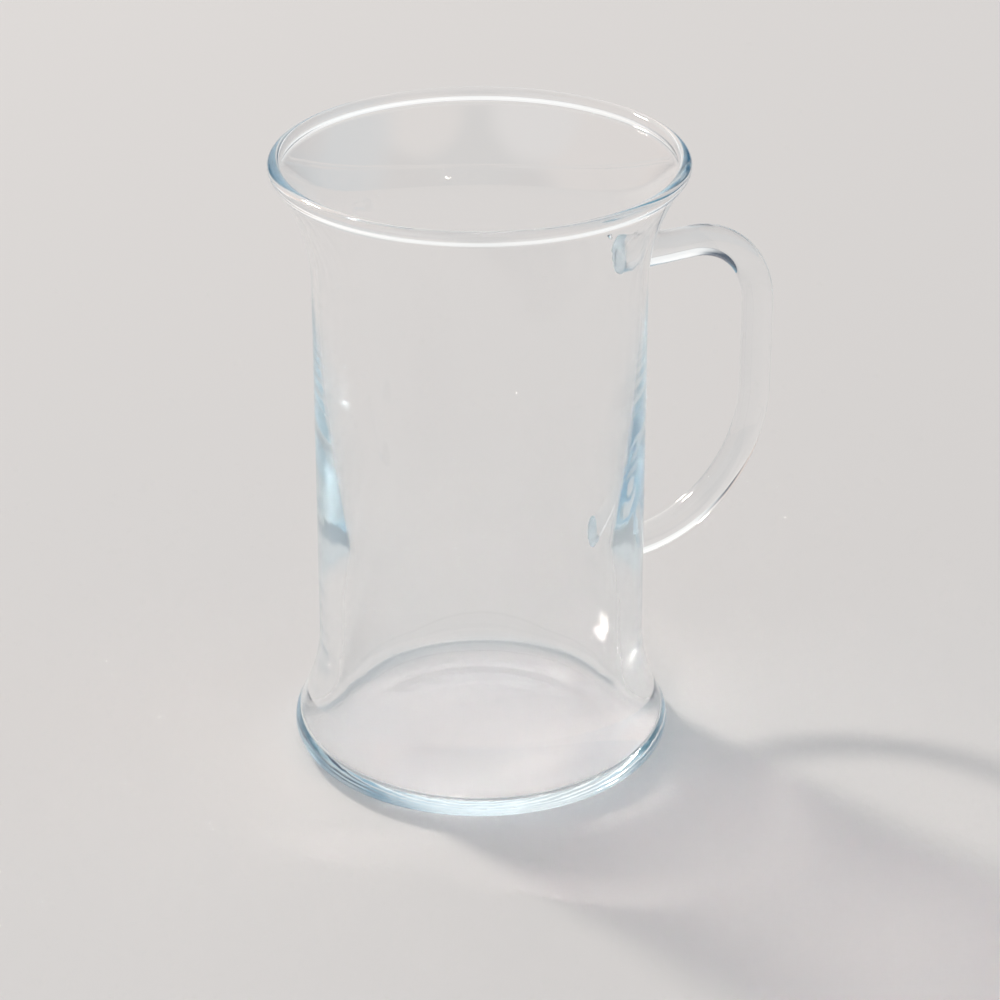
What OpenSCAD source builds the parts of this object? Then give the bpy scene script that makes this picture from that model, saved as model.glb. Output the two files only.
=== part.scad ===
// Irish coffee glass mug: a waisted clear glass body and a bent glass rod for a handle,
// held on by two fused seals. Millimetres, +Z up. The origin is on the body's axis in the
// plane that the foot rests on, and the handle points along +X.

/* [Body] */
// Height of the body from the resting plane to the top of the lip
body_h = 124; // [115:1:150]
// Outside diameter of the lip
rim_d = 80; // [76:1:90]
// Outside diameter of the straight waist
waist_d = 64.5; // [58:0.5:68]
// Outside diameter of the foot at its widest
foot_d = 75; // [72:0.5:84]

/* [Lip] */
// Diameter of the rounded bead round the top of the lip
lip_bead_d = 2.6; // [2:0.1:3.5]
// Radius of the hollow curve inside, between the bead and the thinner wall below it
lip_neck_r = 1.5; // [1:0.1:2.5]
// Radius of the outward curve from the waist to the lip
lip_flare_r = 40; // [34:1:46]

/* [Foot] */
// Radius of the outward curve from the waist to the foot
foot_flare_r = 41; // [32:1:50]
// Radius of the rounded edge of the foot
heel_r = 4.3; // [3:0.1:5.5]
// Diameter of the shallow hollow under the foot
recess_d = 54; // [30:1:58]
// Depth of the shallow hollow under the foot
recess_h = 0.8; // [0.3:0.1:1.6]

/* [Cavity] */
// Wall thickness from the top of the waist up to the lip's bead
wall_top = 1.2; // [1:0.1:1.6]
// Wall thickness where the cavity is narrowest
wall_low = 4.5; // [3.5:0.1:5]
// Height at which the wall thickens fastest
taper_turn_h = 50; // [46:1:70]
// Height at which the cavity is narrowest
narrow_h = 37; // [30:1:44]
// Diameter of the cavity at the foot, where its wall meets the rounding at its floor
cavity_foot_d = 67; // [63:0.5:68]
// Lean of the cavity wall there, in degrees from upright
foot_lean = 39; // [30:1:48]
// Radius of the rounding between the cavity wall and its floor
corner_r = 1; // [0.6:0.1:2]
// Height of the cavity floor above the resting plane
floor_h = 3.2; // [2:0.1:5]

/* [Handle] */
// Diameter of the handle rod
rod_d = 6.3; // [5:0.1:8]
// Clear gap for fingers between the waist and the grip
finger_gap = 28.5; // [22:0.5:34]
// Radius of the bend between the upper arm and the grip, along the rod's middle
upper_bend_r = 16.2; // [10:0.1:20]
// Drop of the upper arm's middle line below the start of the lip's curve
upper_arm_drop = 1.3; // [0:0.1:6]
// Rise of the lower arm's middle line above the top of the foot's curve
lower_arm_rise = 8.5; // [6:0.1:12]

/* [Seals] */
// Length of each fused seal between the wall and the rod
seal_l = 2.4; // [1.5:0.1:4]
// Spread of the upper seal past the rod's surface, at the wall
upper_spread = 1.15; // [0.4:0.05:2]
// Spread of the lower seal past the rod's surface, at the wall
lower_spread = 0.45; // [0.3:0.05:2]

/* [Hidden] */
$fn = 96;
// Most that the straight steps of an outline leave an arc that they stand for
arc_error = 0.01;
// Turn of each bend of the rod, in degrees
bend_angle = 90;
body_colour = [0.80, 0.90, 0.92, 0.55];
rod_colour = [0.72, 0.86, 0.90, 0.70];
seal_colour = [0.58, 0.78, 0.86, 0.85];

waist_r = waist_d / 2;
inner_top_r = waist_r - wall_top;
cavity_r = waist_r - wall_low;

// Bead of the lip
bead_r = lip_bead_d / 2;
bead_centre = [rim_d / 2 - bead_r, body_h - bead_r];

// Outward curve of the lip, which touches the waist and the bead
lip_flare_x = waist_r + lip_flare_r;
bead_reach = lip_flare_r + bead_r;
lip_flare_h = bead_centre.y - sqrt(pow(bead_reach, 2) - pow(lip_flare_x - bead_centre.x, 2));
lip_flare_centre = [lip_flare_x, lip_flare_h];
lip_flare_angle = atan2(bead_centre.y - lip_flare_h, lip_flare_x - bead_centre.x);

// Inside curve of the lip, of the same centre, and the hollow curve that touches it and the bead
lip_inside_r = lip_flare_r + wall_top;
neck_reach = lip_inside_r + lip_neck_r;
neck_turn = acos(
    (pow(bead_reach, 2) + pow(neck_reach, 2) - pow(bead_r + lip_neck_r, 2))
    / (2 * bead_reach * neck_reach)
);
lip_inside_angle = 180 - lip_flare_angle + neck_turn;
neck_centre = lip_flare_centre + neck_reach * [cos(lip_inside_angle), sin(lip_inside_angle)];
neck_angle = atan2(bead_centre.y - neck_centre.y, bead_centre.x - neck_centre.x);

// Rounded edge of the foot, and the outward curve that touches it and the waist
heel_centre = [foot_d / 2 - heel_r, heel_r];
foot_flare_x = waist_r + foot_flare_r;
foot_flare_h = heel_centre.y
    + sqrt(pow(foot_flare_r + heel_r, 2) - pow(foot_flare_x - heel_centre.x, 2));
foot_flare_centre = [foot_flare_x, foot_flare_h];
heel_angle = atan2(foot_flare_h - heel_centre.y, foot_flare_x - heel_centre.x);

// Shallow hollow under the foot, part of a large ball
recess_r = recess_d / 2;
recess_ball_r = (pow(recess_r, 2) + pow(recess_h, 2)) / (2 * recess_h);
recess_centre = [0, recess_h - recess_ball_r];
recess_angle = asin(recess_r / recess_ball_r);

// Cavity wall above its narrowest height, two arcs that widen it to the top of the waist
taper_angle = 2 * atan2(inner_top_r - cavity_r, lip_flare_h - narrow_h);
upper_taper_r = (lip_flare_h - taper_turn_h) / sin(taper_angle);
lower_taper_r = (taper_turn_h - narrow_h) / sin(taper_angle);
upper_taper_centre = [inner_top_r - upper_taper_r, lip_flare_h];
lower_taper_centre = [cavity_r + lower_taper_r, narrow_h];

// Cavity wall below its narrowest height, which widens as a power of the depth and
// touches the rounding at the floor
cavity_foot_r = cavity_foot_d / 2;
widening = cavity_foot_r - cavity_r;
widening_drop = narrow_h - floor_h - corner_r * (1 + sin(foot_lean));
widening_power = tan(foot_lean) * widening_drop / widening;
widening_steps = ceil(sqrt(widening_power * (widening_power - 1) * widening / (8 * arc_error)));
corner_centre = [cavity_foot_r - corner_r * cos(foot_lean), floor_h + corner_r];

// Middle line of the handle rod
rod_r = rod_d / 2;
grip_x = waist_r + finger_gap + rod_r;
arm_start_x = waist_r + seal_l;
upper_arm_h = lip_flare_h - upper_arm_drop;
lower_arm_h = foot_flare_h + lower_arm_rise;
upper_bend_x = grip_x - upper_bend_r;
lower_bend_r = grip_x - arm_start_x;
upper_bend_h = upper_arm_h - upper_bend_r;
lower_bend_h = lower_arm_h + lower_bend_r;
upper_arm_l = upper_bend_x - waist_r;

// A point on a circle
function on_circle(centre, radius, angle) = centre + radius * [cos(angle), sin(angle)];

// Points along a circle from one angle up to, and without, another
function arc(centre, radius, from_angle, to_angle) =
    let (turn = to_angle - from_angle)
    let (steps = ceil(abs(turn) / (2 * acos(1 - arc_error / radius))))
    [
        for (i = [0 : steps - 1])
            let (angle = from_angle + turn * i / steps)
            on_circle(centre, radius, angle)
    ];

// Point of the cavity wall at a share of the way from its narrowest height to the rounding
function widening_point(depth_share) = [
    cavity_r + widening * pow(depth_share, widening_power),
    narrow_h - widening_drop * depth_share
];

// Radius of the curve that spreads a rod by an amount over a length
function flare_curve_r(flare_l, spread) = (pow(spread, 2) + pow(flare_l, 2)) / (2 * spread);

// Outside of the body, from the middle of its underside up to the bead of its lip
outside = concat(
    arc(recess_centre, recess_ball_r, 90, 90 - recess_angle),
    [[recess_r, 0]],
    arc(heel_centre, heel_r, -90, heel_angle),
    arc(foot_flare_centre, foot_flare_r, 180 + heel_angle, 180),
    [[waist_r, foot_flare_h]],
    arc(lip_flare_centre, lip_flare_r, 180, 180 - lip_flare_angle)
);

// Inside of the body, from the bead of its lip down to the middle of its floor
inside = concat(
    arc(neck_centre, lip_neck_r, neck_angle, lip_inside_angle - 180),
    arc(lip_flare_centre, lip_inside_r, lip_inside_angle, 180),
    arc(upper_taper_centre, upper_taper_r, 0, -taper_angle),
    arc(lower_taper_centre, lower_taper_r, 180 - taper_angle, 180),
    [for (i = [0 : widening_steps - 1]) widening_point(i / widening_steps)],
    arc(corner_centre, corner_r, foot_lean, -90),
    [[corner_centre.x, floor_h], [0, floor_h]]
);

// The body as if it were solid glass, which shapes the faces of the seals
module body_without_cavity() {
    rotate_extrude()
        polygon(concat(
            outside,
            arc(bead_centre, bead_r, -lip_flare_angle, 90),
            [[bead_centre.x, body_h], [0, body_h]]
        ));
}

// The stretch between two places of a rod along the X axis that starts to widen at
// start_x and has spread by the given amount at the wall, a length flare_l back.
// A straight tail of the first radius runs on towards the body's axis.
module flared_rod(start_x, from_x, to_x, flare_l, spread, tail_l) {
    curve_r = flare_curve_r(flare_l, spread);
    centre = [rod_r + curve_r, start_x];
    from_angle = 180 + asin((start_x - from_x) / curve_r);
    to_angle = 180 + asin((start_x - to_x) / curve_r);
    tail = tail_l > 0 ? [[on_circle(centre, curve_r, from_angle).x, from_x - tail_l]] : [];
    rotate([0, 90, 0])
        rotate_extrude()
            polygon(concat(
                [[0, from_x - tail_l]],
                tail,
                arc(centre, curve_r, from_angle, to_angle),
                [on_circle(centre, curve_r, to_angle), [0, to_x]]
            ));
}

// A quarter turn of the rod about the Y axis, from one angle above the X axis
module bend(centre_x, centre_h, radius, start_angle) {
    translate([centre_x, 0, centre_h])
        rotate([90, 0, 0])
            rotate([0, 0, start_angle])
                rotate_extrude(angle = bend_angle)
                    translate([radius, 0])
                        circle(r = rod_r);
}

// A seal: flared glass between the wall and the rod, with a face that fits the wall
module seal(height, flare_l, spread) {
    foot_r = rod_r + spread;
    inset = 2 * (waist_r - sqrt(pow(waist_r, 2) - pow(foot_r, 2)));
    difference() {
        translate([0, 0, height])
            flared_rod(waist_r + flare_l, waist_r, arm_start_x, flare_l, spread, inset);
        body_without_cavity();
    }
}

module glass_body() {
    color(body_colour)
        rotate_extrude()
            polygon(concat(
                outside,
                arc(bead_centre, bead_r, -lip_flare_angle, 180 + neck_angle),
                inside
            ));
}

module handle_rod() {
    color(rod_colour)
        union() {
            translate([0, 0, upper_arm_h])
                flared_rod(upper_bend_x, arm_start_x, upper_bend_x, upper_arm_l, upper_spread, 0);
            bend(upper_bend_x, upper_bend_h, upper_bend_r, 0);
            translate([grip_x, 0, lower_bend_h])
                cylinder(h = upper_bend_h - lower_bend_h, r = rod_r);
            bend(arm_start_x, lower_bend_h, lower_bend_r, -bend_angle);
        }
}

module upper_seal() {
    color(seal_colour)
        seal(upper_arm_h, upper_arm_l, upper_spread);
}

module lower_seal() {
    color(seal_colour)
        seal(lower_arm_h, seal_l, lower_spread);
}

glass_body();
handle_rod();
upper_seal();
lower_seal();
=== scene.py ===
from math import acos, asin, atan2, ceil, cos, pi, radians, sin, sqrt, tan

import bpy
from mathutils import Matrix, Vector


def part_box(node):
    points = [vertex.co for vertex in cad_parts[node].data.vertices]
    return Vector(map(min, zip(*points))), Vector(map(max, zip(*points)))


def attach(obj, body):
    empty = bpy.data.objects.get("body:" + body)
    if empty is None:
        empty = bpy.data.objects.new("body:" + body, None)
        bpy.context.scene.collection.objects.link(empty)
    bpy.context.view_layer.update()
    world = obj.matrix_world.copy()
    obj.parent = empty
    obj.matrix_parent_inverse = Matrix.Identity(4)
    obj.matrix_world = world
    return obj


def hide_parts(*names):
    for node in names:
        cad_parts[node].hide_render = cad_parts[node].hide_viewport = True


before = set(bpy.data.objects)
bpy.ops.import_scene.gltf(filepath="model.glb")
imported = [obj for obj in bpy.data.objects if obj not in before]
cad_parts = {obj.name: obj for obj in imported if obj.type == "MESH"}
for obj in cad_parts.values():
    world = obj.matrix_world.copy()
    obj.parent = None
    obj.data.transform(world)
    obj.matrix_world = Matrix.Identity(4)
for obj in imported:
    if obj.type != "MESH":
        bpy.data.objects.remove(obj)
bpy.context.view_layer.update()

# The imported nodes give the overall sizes. All lengths are in metres.
MM = 0.001
body_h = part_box("glass_body")[1].z
rim_r = 40 * MM
rod_r = 3.15 * MM
grip_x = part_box("handle_rod")[1].x - rod_r

# Body outside
waist_r = 32.25 * MM
foot_r = 37.5 * MM
bead_r = 1.3 * MM
lip_neck_r = 1.5 * MM
lip_flare_r = 40 * MM
foot_flare_r = 41 * MM
heel_r = 4.3 * MM
recess_r = 27 * MM
recess_h = 0.8 * MM

# Body inside
wall_top = 1.2 * MM
inner_top_r = waist_r - wall_top
cavity_r = waist_r - 4.5 * MM
taper_turn_h = 50 * MM
narrow_h = 37 * MM
cavity_foot_r = 33.5 * MM
foot_lean = radians(39)
corner_r = 1 * MM
floor_h = 3.2 * MM

# Handle
upper_bend_r = 16.2 * MM
upper_arm_drop = 1.3 * MM
lower_arm_rise = 8.5 * MM
seal_l = 2.4 * MM
upper_spread = 1.15 * MM
lower_spread = 0.45 * MM
pinch = 0.3 * MM
upper_weld_rise = 1.2 * MM
RISE_POWER = 3
fused_depth = 0.04 * MM

# Air bubbles in the wall by the upper weld, as (distance beside it, distance above it, half
# width, half height)
BUBBLES = [
    (3.6 * MM, 3.3 * MM, 0.7 * MM, 0.8 * MM),
    (0.7 * MM, -0.7 * MM, 0.6 * MM, 2.4 * MM),
]
bubble_half_depth = 0.42 * MM

# Fineness of the meshes
ARC_ERROR = 0.0015 * MM
WIDENING_STEPS = 96
BODY_SIDES = 256
ROD_SIDES = 64
ROD_STEP = 0.5 * MM
END_RINGS = 8
BUBBLE_SIDES = 24
BUBBLE_RINGS = 16

# Faint waves in the glass, as waves per metre along X, Y and Z, with their full heights, and the
# ripple round each weld
BODY_WAVES = (330, 330, 22)
ROD_WAVES = (90, 330, 90)
body_wave_h = 0.012 * MM
rod_wave_h = 0.02 * MM
WAVE_DETAIL = 3
WAVE_ROUGHNESS = 0.45
pucker_reach = 9 * MM
pucker_h = 0.1 * MM

# Glass: its bending of light, its tint, and its faint haze, which starts and is full at these
# levels of its pattern
GLASS_IOR = 1.5
TINT_COLOUR = (0.12, 0.72, 0.95)
TINT_DENSITY = 2.1
HAZE_SCALE = 45
HAZE_DETAIL = 4
HAZE_START = 0.45
HAZE_FULL = 0.75
HAZE_ROUGHNESS = 0.05

# Floor, just under the foot
FLOOR_REACH = 8
FLOOR_H = -0.05 * MM
FLOOR_COLOUR = (0.69, 0.675, 0.668)
FLOOR_ROUGHNESS = 0.85
FLOOR_SHINE = 0.1

# Camera: its place round the mug, its direction and its lens
CAMERA_AZIMUTH = radians(-29)
CAMERA_DISTANCE = 619.4 * MM
CAMERA_H = 355.5 * MM
CAMERA_PITCH = radians(26.118)
CAMERA_YAW = radians(0.3556)
CAMERA_LENS_MM = 126
CAMERA_SENSOR_MM = 36
NEAREST = 0.01
FARTHEST = 100
LIGHT_BOUNCES = 200

# Room: its colours, where each starts and is full as the sine of the angle above level, and its
# patches as (direction right and up, edge and core in degrees, colour)
WALL_COLOUR = (0.68, 0.72, 0.75)
CEILING_COLOUR = (0.95, 0.95, 0.97)
LOW_COLOUR = (0.03, 0.06, 0.10)
CEILING_START = 0.4
CEILING_FULL = 1.0
LOW_START = 0.52
LOW_FULL = 0.2
ROOM_PATCHES = [
    ((-6, 8), 26, 9, (0.95, 0.95, 0.94)),
    ((178, 20), 38, 18, (0.03, 0.14, 0.20)),
    ((143, 36), 26, 12, (0.74, 0.68, 0.64)),
    ((-85, 24), 60, 38, (0.80, 0.68, 0.62)),
    ((78, 24), 48, 22, (0.03, 0.30, 0.46)),
    ((-16, 38), 34, 14, (1.25, 1.23, 1.20)),
    ((48, 32), 33, 14, (0.03, 0.05, 0.10)),
    ((217, 35), 30, 13, (0.83, 0.87, 0.90)),
]

# Lamp, with its direction in degrees to the right of the camera's view and above level
LAMP_SIDE = -43
LAMP_RISE = 42
LAMP_DISTANCE = 3.6
LAMP_SIZE = 0.44
LAMP_POWER = 54
LAMP_COLOUR = (1.0, 0.93, 0.85)

# Sockets of the Mix node for colours
MIX_SHARE = 0
MIX_FIRST = 6
MIX_SECOND = 7
MIX_RESULT = 2

scene = bpy.context.scene


def on_circle(centre, radius, angle):
    """The point of a circle at an angle."""
    return (centre[0] + radius * cos(angle), centre[1] + radius * sin(angle))


def arc(centre, radius, start, end):
    """Points along a circle from one angle up to, and without, another."""
    steps = max(1, ceil(abs(end - start) / (2 * acos(1 - ARC_ERROR / radius))))
    return [on_circle(centre, radius, start + (end - start) * i / steps) for i in range(steps)]


# Outward curves of the lip and the foot, each touching the waist and its rounded edge
bead_centre = (rim_r - bead_r, body_h - bead_r)
bead_reach = lip_flare_r + bead_r
lip_flare_x = waist_r + lip_flare_r
lip_rise = sqrt(bead_reach**2 - (lip_flare_x - bead_centre[0]) ** 2)
lip_flare_h = bead_centre[1] - lip_rise
heel_centre = (foot_r - heel_r, heel_r)
foot_flare_x = waist_r + foot_flare_r
foot_rise = sqrt((foot_flare_r + heel_r) ** 2 - (foot_flare_x - heel_centre[0]) ** 2)
foot_flare_h = heel_centre[1] + foot_rise

# Middle line of the handle
arm_start_x = waist_r + seal_l
upper_arm_h = lip_flare_h - upper_arm_drop
lower_arm_h = foot_flare_h + lower_arm_rise
upper_bend_x = grip_x - upper_bend_r
lower_bend_r = grip_x - arm_start_x
upper_bend_h = upper_arm_h - upper_bend_r
lower_bend_h = lower_arm_h + lower_bend_r
WELDS = [(waist_r, 0, upper_arm_h + upper_weld_rise), (waist_r, 0, lower_arm_h)]


def cavity_widening():
    """The cavity wall from its narrowest height down to the rounding at its floor."""
    widening = cavity_foot_r - cavity_r
    drop = narrow_h - floor_h - corner_r * (1 + sin(foot_lean))
    power = tan(foot_lean) * drop / widening
    points = []
    for i in range(WIDENING_STEPS):
        share = i / WIDENING_STEPS
        points.append((cavity_r + widening * share**power, narrow_h - drop * share))
    return points


def body_outline():
    """The body's closed half section, as (radius, height) points, from the axis under the
    foot round the outside, the lip and the cavity back to the axis."""
    flare_centre = (lip_flare_x, lip_flare_h)
    flare_angle = atan2(lip_rise, lip_flare_x - bead_centre[0])
    inside_r = lip_flare_r + wall_top
    neck_reach = inside_r + lip_neck_r
    neck_gap = bead_r + lip_neck_r
    neck_share = (bead_reach**2 + neck_reach**2 - neck_gap**2) / (2 * bead_reach * neck_reach)
    inside_angle = pi - flare_angle + acos(neck_share)
    neck_centre = on_circle(flare_centre, neck_reach, inside_angle)
    neck_angle = atan2(bead_centre[1] - neck_centre[1], bead_centre[0] - neck_centre[0])
    heel_angle = atan2(foot_rise, foot_flare_x - heel_centre[0])
    ball_r = (recess_r**2 + recess_h**2) / (2 * recess_h)
    recess_angle = asin(recess_r / ball_r)
    corner_centre = (cavity_foot_r - corner_r * cos(foot_lean), floor_h + corner_r)
    taper_angle = 2 * atan2(inner_top_r - cavity_r, lip_flare_h - narrow_h)
    upper_taper_r = (lip_flare_h - taper_turn_h) / sin(taper_angle)
    lower_taper_r = (taper_turn_h - narrow_h) / sin(taper_angle)
    return [
        *arc((0, recess_h - ball_r), ball_r, pi / 2, pi / 2 - recess_angle),
        (recess_r, 0),
        *arc(heel_centre, heel_r, -pi / 2, heel_angle),
        *arc((foot_flare_x, foot_flare_h), foot_flare_r, pi + heel_angle, pi),
        *arc(flare_centre, lip_flare_r, pi, pi - flare_angle),
        *arc(bead_centre, bead_r, -flare_angle, pi + neck_angle),
        *arc(neck_centre, lip_neck_r, neck_angle, inside_angle - pi),
        *arc(flare_centre, inside_r, inside_angle, pi),
        *arc((inner_top_r - upper_taper_r, lip_flare_h), upper_taper_r, 0, -taper_angle),
        *arc((cavity_r + lower_taper_r, narrow_h), lower_taper_r, pi - taper_angle, pi),
        *cavity_widening(),
        *arc(corner_centre, corner_r, foot_lean, -pi / 2),
        (corner_centre[0], floor_h),
        (0, floor_h),
    ]


def new_piece(name, points, faces):
    """A smooth-shaded object of these points and faces."""
    mesh = bpy.data.meshes.new(name)
    mesh.from_pydata(points, [], faces)
    mesh.validate()
    for face in mesh.polygons:
        face.use_smooth = True
    piece = bpy.data.objects.new(name, mesh)
    scene.collection.objects.link(piece)
    return piece


def tube_faces(rings, sides):
    """Faces of a closed tube of that many rings, with a point before and after them all."""
    top = 1 + (rings - 1) * sides
    last = top + sides
    faces = []
    for i in range(sides):
        j = (i + 1) % sides
        faces.append((0, 1 + j, 1 + i))
        for ring in range(rings - 1):
            low = 1 + ring * sides
            high = low + sides
            faces.append((low + i, low + j, high + j, high + i))
        faces.append((top + i, top + j, last))
    return faces


def turned(outline, sides):
    """Points and faces of a closed solid of revolution, whose outline starts and ends on the
    axis."""
    points = [(0, 0, outline[0][1])]
    for radius, height in outline[1:-1]:
        for i in range(sides):
            turn = 2 * pi * i / sides
            points.append((radius * cos(turn), radius * sin(turn), height))
    points.append((0, 0, outline[-1][1]))
    return points, tube_faces(len(outline) - 2, sides)


def add_bubble(points, faces, centre, half_sizes):
    """A small hollow inside the glass. Its rings go down from its top, so its faces point
    into it."""
    first = len(points)
    points.append((centre[0], centre[1], centre[2] + half_sizes[2]))
    for k in range(1, BUBBLE_RINGS):
        lean = pi * k / BUBBLE_RINGS
        for i in range(BUBBLE_SIDES):
            turn = 2 * pi * i / BUBBLE_SIDES
            points.append((
                centre[0] + half_sizes[0] * sin(lean) * cos(turn),
                centre[1] + half_sizes[1] * sin(lean) * sin(turn),
                centre[2] + half_sizes[2] * cos(lean),
            ))
    points.append((centre[0], centre[1], centre[2] - half_sizes[2]))
    for face in tube_faces(BUBBLE_RINGS - 1, BUBBLE_SIDES):
        faces.append([first + corner for corner in face])


def flare(distance, flare_l, spread):
    """How much a rod has spread at a distance along a curve of that length and full spread."""
    curve_r = (spread**2 + flare_l**2) / (2 * spread)
    return curve_r - sqrt(curve_r**2 - min(max(distance, 0), flare_l) ** 2)


def rod_radii(x, height):
    """Half the rod's height and half its width. Pressed on while hot, it is taller and a
    little narrower at the wall."""
    side_r = rod_r - flare(arm_start_x - x, seal_l, pinch)
    if height > (upper_arm_h + lower_arm_h) / 2:
        return (rod_r + flare(upper_bend_x - x, upper_bend_x - waist_r, upper_spread), side_r)
    return (rod_r + flare(arm_start_x - x, seal_l, lower_spread), side_r)


def handle_line():
    """Stations down the rod's middle line: (x, height, slant), from wall to wall."""
    stations = []
    arm_l = upper_bend_x - waist_r
    steps = ceil(arm_l / ROD_STEP)
    for i in range(steps):
        share = 1 - i / steps
        height = upper_arm_h + upper_weld_rise * share**RISE_POWER
        slope = upper_weld_rise * RISE_POWER * share ** (RISE_POWER - 1) / arm_l
        stations.append((waist_r + arm_l * i / steps, height, -atan2(slope, 1)))
    steps = ceil(pi / 2 * upper_bend_r / ROD_STEP)
    for i in range(steps):
        turn = pi / 2 * i / steps
        x, height = on_circle((upper_bend_x, upper_bend_h), upper_bend_r, pi / 2 - turn)
        stations.append((x, height, -turn))
    steps = ceil((upper_bend_h - lower_bend_h) / ROD_STEP)
    for i in range(steps):
        height = upper_bend_h - (upper_bend_h - lower_bend_h) * i / steps
        stations.append((grip_x, height, -pi / 2))
    steps = ceil(pi / 2 * lower_bend_r / ROD_STEP)
    for i in range(steps):
        turn = pi / 2 * i / steps
        x, height = on_circle((arm_start_x, lower_bend_h), lower_bend_r, -turn)
        stations.append((x, height, -pi / 2 - turn))
    steps = ceil(seal_l / ROD_STEP)
    for i in range(steps + 1):
        stations.append((arm_start_x - seal_l * i / steps, lower_arm_h, -pi))
    return stations


def ring_points(x, height, slant, share=1):
    """A ring of the rod, or a smaller one inside it, round a point of its middle line."""
    upright_r, side_r = rod_radii(x, height)
    points = []
    for i in range(ROD_SIDES):
        turn = 2 * pi * i / ROD_SIDES
        across = upright_r * share * cos(turn)
        points.append((
            x - sin(slant) * across,
            -side_r * share * sin(turn),
            height + cos(slant) * across,
        ))
    return points


def fit_to_wall(point):
    """The point moved along X onto the wall's surface, a little way into the glass."""
    reach = waist_r - fused_depth
    return (sqrt(reach**2 - point[1] ** 2), point[1], point[2])


def end_rings(station):
    """Rings on the wall that fill an end of the rod, from its smallest up to its full size."""
    rings = []
    for k in range(1, END_RINGS + 1):
        ring = ring_points(*station, k / END_RINGS)
        rings.append([fit_to_wall(point) for point in ring])
    return rings


def swept(name, stations):
    """The rod with its two ends shaped to the wall, as one closed solid."""
    rings = end_rings(stations[0])
    for station in stations[1:-1]:
        rings.append(ring_points(*station))
    rings.extend(reversed(end_rings(stations[-1])))
    points = [fit_to_wall((0, 0, stations[0][1]))]
    for ring in rings:
        points.extend(ring)
    points.append(fit_to_wall((0, 0, stations[-1][1])))
    return new_piece(name, points, tube_faces(len(rings), ROD_SIDES))


def shader_node(tree, kind, **settings):
    """A new node with those settings."""
    node = tree.nodes.new(kind)
    for name, value in settings.items():
        setattr(node, name, value)
    return node


def smooth_step(tree, value, low, high):
    """A node that goes smoothly from 0 to 1 between the low and the high value."""
    node = shader_node(tree, "ShaderNodeMapRange", interpolation_type="SMOOTHSTEP")
    node.inputs["From Min"].default_value = low
    node.inputs["From Max"].default_value = high
    tree.links.new(value, node.inputs["Value"])
    return node.outputs["Result"]


def scaled(tree, value, factor):
    """A node that multiplies a value by a number."""
    node = shader_node(tree, "ShaderNodeMath", operation="MULTIPLY")
    tree.links.new(value, node.inputs[0])
    node.inputs[1].default_value = factor
    return node.outputs[0]


def summed(tree, first, second):
    """A node that adds two values."""
    node = shader_node(tree, "ShaderNodeMath", operation="ADD")
    tree.links.new(first, node.inputs[0])
    tree.links.new(second, node.inputs[1])
    return node.outputs[0]


def pucker(tree, place, weld):
    """The height of the ripple that the hot rod's end left round a weld."""
    distance = shader_node(tree, "ShaderNodeVectorMath", operation="DISTANCE")
    distance.inputs[1].default_value = weld
    tree.links.new(place, distance.inputs[0])
    fade = smooth_step(tree, distance.outputs["Value"], pucker_reach, rod_r)
    return scaled(tree, fade, pucker_h)


def glass_material(name, wave_scale, wave_h, welds):
    """Clear glass: smooth, a little wavy, drawn out in faint streaks, puckered round the welds
    given by their places, and cyan where the light's way through it is long."""
    material = bpy.data.materials.new(name)
    material.use_nodes = True
    tree = material.node_tree
    tree.nodes.clear()
    out = shader_node(tree, "ShaderNodeOutputMaterial")
    glass = shader_node(tree, "ShaderNodeBsdfPrincipled")
    glass.inputs["Base Color"].default_value = (1, 1, 1, 1)
    glass.inputs["Transmission Weight"].default_value = 1
    glass.inputs["IOR"].default_value = GLASS_IOR
    place = shader_node(tree, "ShaderNodeTexCoord").outputs["Object"]
    stretch = shader_node(tree, "ShaderNodeMapping")
    stretch.inputs["Scale"].default_value = wave_scale
    tree.links.new(place, stretch.inputs["Vector"])
    waves = shader_node(tree, "ShaderNodeTexNoise")
    waves.inputs["Scale"].default_value = 1
    waves.inputs["Detail"].default_value = WAVE_DETAIL
    waves.inputs["Roughness"].default_value = WAVE_ROUGHNESS
    tree.links.new(stretch.outputs["Vector"], waves.inputs["Vector"])
    height = scaled(tree, waves.outputs["Fac"], wave_h)
    for weld in welds:
        height = summed(tree, height, pucker(tree, place, weld))
    bump = shader_node(tree, "ShaderNodeBump")
    bump.inputs["Strength"].default_value = 1
    bump.inputs["Distance"].default_value = 1
    tree.links.new(height, bump.inputs["Height"])
    tree.links.new(bump.outputs["Normal"], glass.inputs["Normal"])
    haze = shader_node(tree, "ShaderNodeTexNoise")
    haze.inputs["Scale"].default_value = HAZE_SCALE
    haze.inputs["Detail"].default_value = HAZE_DETAIL
    tree.links.new(place, haze.inputs["Vector"])
    roughness = shader_node(tree, "ShaderNodeMapRange")
    roughness.inputs["From Min"].default_value = HAZE_START
    roughness.inputs["From Max"].default_value = HAZE_FULL
    roughness.inputs["To Min"].default_value = 0
    roughness.inputs["To Max"].default_value = HAZE_ROUGHNESS
    tree.links.new(haze.outputs["Fac"], roughness.inputs["Value"])
    tree.links.new(roughness.outputs["Result"], glass.inputs["Roughness"])
    tint = shader_node(tree, "ShaderNodeVolumeAbsorption")
    tint.inputs["Color"].default_value = (*TINT_COLOUR, 1)
    tint.inputs["Density"].default_value = TINT_DENSITY
    tree.links.new(glass.outputs["BSDF"], out.inputs["Surface"])
    tree.links.new(tint.outputs["Volume"], out.inputs["Volume"])
    return material


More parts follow.
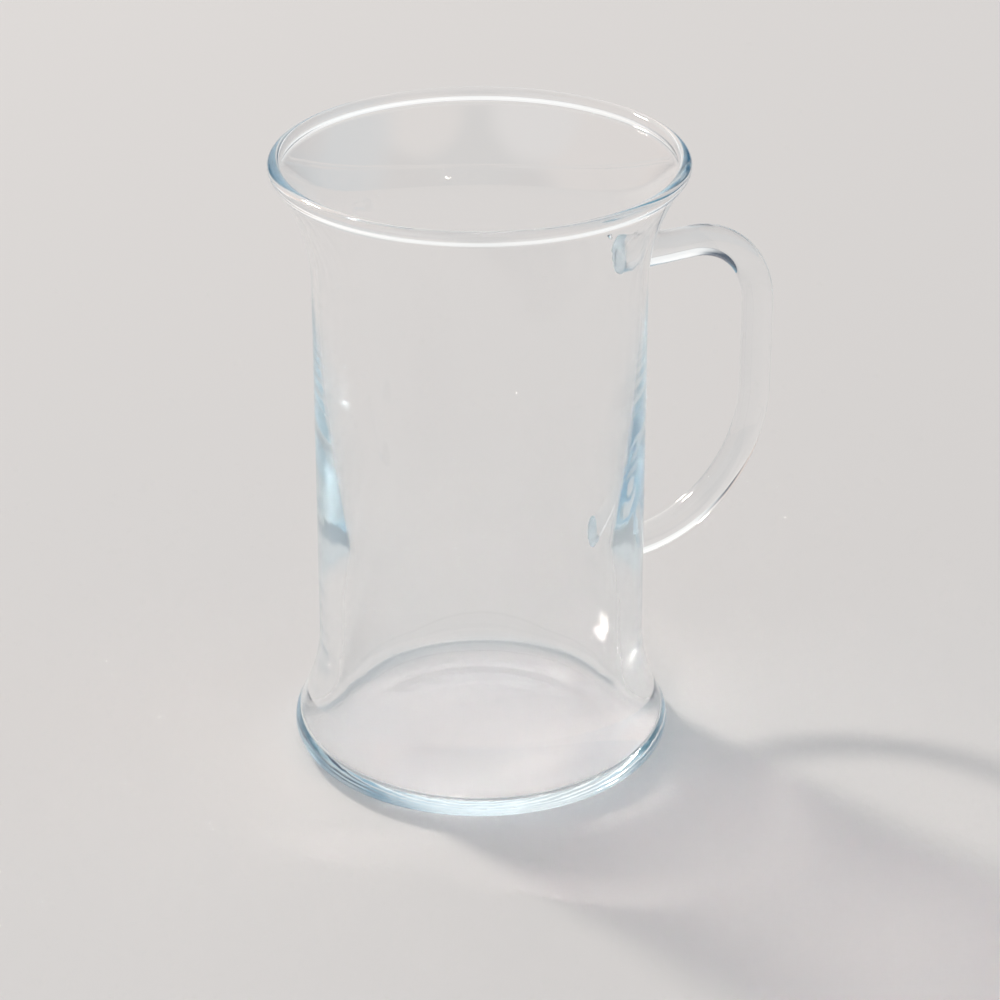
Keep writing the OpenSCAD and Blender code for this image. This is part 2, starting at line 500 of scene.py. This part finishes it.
def floor_material():
    """A plain, pale and matt surface."""
    material = bpy.data.materials.new("pale_floor")
    material.use_nodes = True
    surface = material.node_tree.nodes["Principled BSDF"]
    surface.inputs["Base Color"].default_value = (*FLOOR_COLOUR, 1)
    surface.inputs["Roughness"].default_value = FLOOR_ROUGHNESS
    surface.inputs["Specular IOR Level"].default_value = FLOOR_SHINE
    return material


def make_floor():
    """A level square under the mug."""
    mesh = bpy.data.meshes.new("floor")
    corners = [
        (-FLOOR_REACH, -FLOOR_REACH, FLOOR_H),
        (FLOOR_REACH, -FLOOR_REACH, FLOOR_H),
        (FLOOR_REACH, FLOOR_REACH, FLOOR_H),
        (-FLOOR_REACH, FLOOR_REACH, FLOOR_H),
    ]
    mesh.from_pydata(corners, [], [(0, 1, 2, 3)])
    floor = bpy.data.objects.new("floor", mesh)
    floor.data.materials.append(floor_material())
    scene.collection.objects.link(floor)


def direction(side_angle, rise_angle):
    """The direction at an angle to the right of the camera's view and an angle above level."""
    heading = radians(side_angle) - CAMERA_AZIMUTH
    rise = radians(rise_angle)
    return (sin(heading) * cos(rise), cos(heading) * cos(rise), sin(rise))


def mix_colour(tree, share, first, second):
    """A node that goes from the first colour to the second by a share."""
    node = shader_node(tree, "ShaderNodeMix", data_type="RGBA")
    tree.links.new(share, node.inputs[MIX_SHARE])
    tree.links.new(first, node.inputs[MIX_FIRST])
    node.inputs[MIX_SECOND].default_value = (*second, 1)
    return node.outputs[MIX_RESULT]


def make_world():
    """A pale room, a little cool overhead and dim near the floor, with the softly edged
    patches of ROOM_PATCHES on its walls."""
    world = bpy.data.worlds.new("studio")
    scene.world = world
    world.use_nodes = True
    tree = world.node_tree
    background = tree.nodes["Background"]
    view = shader_node(tree, "ShaderNodeTexCoord").outputs["Generated"]
    parts = shader_node(tree, "ShaderNodeSeparateXYZ")
    tree.links.new(view, parts.inputs["Vector"])
    rise = parts.outputs["Z"]
    colour = shader_node(tree, "ShaderNodeRGB").outputs[0]
    colour.default_value = (*WALL_COLOUR, 1)
    high = smooth_step(tree, rise, CEILING_START, CEILING_FULL)
    colour = mix_colour(tree, high, colour, CEILING_COLOUR)
    low = smooth_step(tree, rise, LOW_START, LOW_FULL)
    colour = mix_colour(tree, low, colour, LOW_COLOUR)
    for aim, edge, core, patch_colour in ROOM_PATCHES:
        towards = shader_node(tree, "ShaderNodeVectorMath", operation="DOT_PRODUCT")
        towards.inputs[1].default_value = direction(*aim)
        tree.links.new(view, towards.inputs[0])
        near = smooth_step(tree, towards.outputs["Value"], cos(radians(edge)), cos(radians(core)))
        colour = mix_colour(tree, near, colour, patch_colour)
    tree.links.new(colour, background.inputs["Color"])


def make_lamp():
    """A round lamp that shines on the mug from behind it."""
    data = bpy.data.lights.new("key", "AREA")
    data.shape = "DISK"
    data.size = LAMP_SIZE
    data.energy = LAMP_POWER
    data.color = LAMP_COLOUR
    lamp = bpy.data.objects.new("key", data)
    aim = Vector(direction(LAMP_SIDE, LAMP_RISE))
    lamp.location = aim * LAMP_DISTANCE
    lamp.rotation_mode = "QUATERNION"
    lamp.rotation_quaternion = aim.to_track_quat("Z", "Y")
    scene.collection.objects.link(lamp)


def make_camera():
    """The camera, in its place and looking down at the mug."""
    data = bpy.data.cameras.new("camera")
    data.lens = CAMERA_LENS_MM
    data.sensor_width = CAMERA_SENSOR_MM
    data.clip_start = NEAREST
    data.clip_end = FARTHEST
    camera = bpy.data.objects.new("camera", data)
    camera.location = (
        CAMERA_DISTANCE * sin(CAMERA_AZIMUTH),
        -CAMERA_DISTANCE * cos(CAMERA_AZIMUTH),
        CAMERA_H,
    )
    heading = CAMERA_AZIMUTH - CAMERA_YAW
    forward = Vector((
        -sin(heading) * cos(CAMERA_PITCH),
        cos(heading) * cos(CAMERA_PITCH),
        -sin(CAMERA_PITCH),
    ))
    camera.rotation_mode = "QUATERNION"
    camera.rotation_quaternion = forward.to_track_quat("-Z", "Y")
    scene.collection.objects.link(camera)
    scene.camera = camera


body_points, body_faces = turned(body_outline(), BODY_SIDES)
for side, rise, half_width, half_height in BUBBLES:
    middle_r = waist_r - wall_top / 2
    centre = (sqrt(middle_r**2 - side**2), side, upper_arm_h + upper_weld_rise + rise)
    add_bubble(body_points, body_faces, centre, (bubble_half_depth, half_width, half_height))
body = new_piece("mug_body", body_points, body_faces)
body.data.materials.append(glass_material("body_glass", BODY_WAVES, body_wave_h, WELDS))
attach(body, "root")
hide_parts("glass_body")

handle = swept("mug_handle", handle_line())
handle.data.materials.append(glass_material("rod_glass", ROD_WAVES, rod_wave_h, []))
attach(handle, "root")
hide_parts("handle_rod", "upper_seal", "lower_seal")

make_floor()
make_world()
make_lamp()
make_camera()
scene.view_settings.view_transform = "Standard"
scene.cycles.max_bounces = LIGHT_BOUNCES
scene.cycles.transmission_bounces = LIGHT_BOUNCES
scene.cycles.glossy_bounces = LIGHT_BOUNCES
scene.cycles.blur_glossy = 0
scene.cycles.sample_clamp_indirect = 0
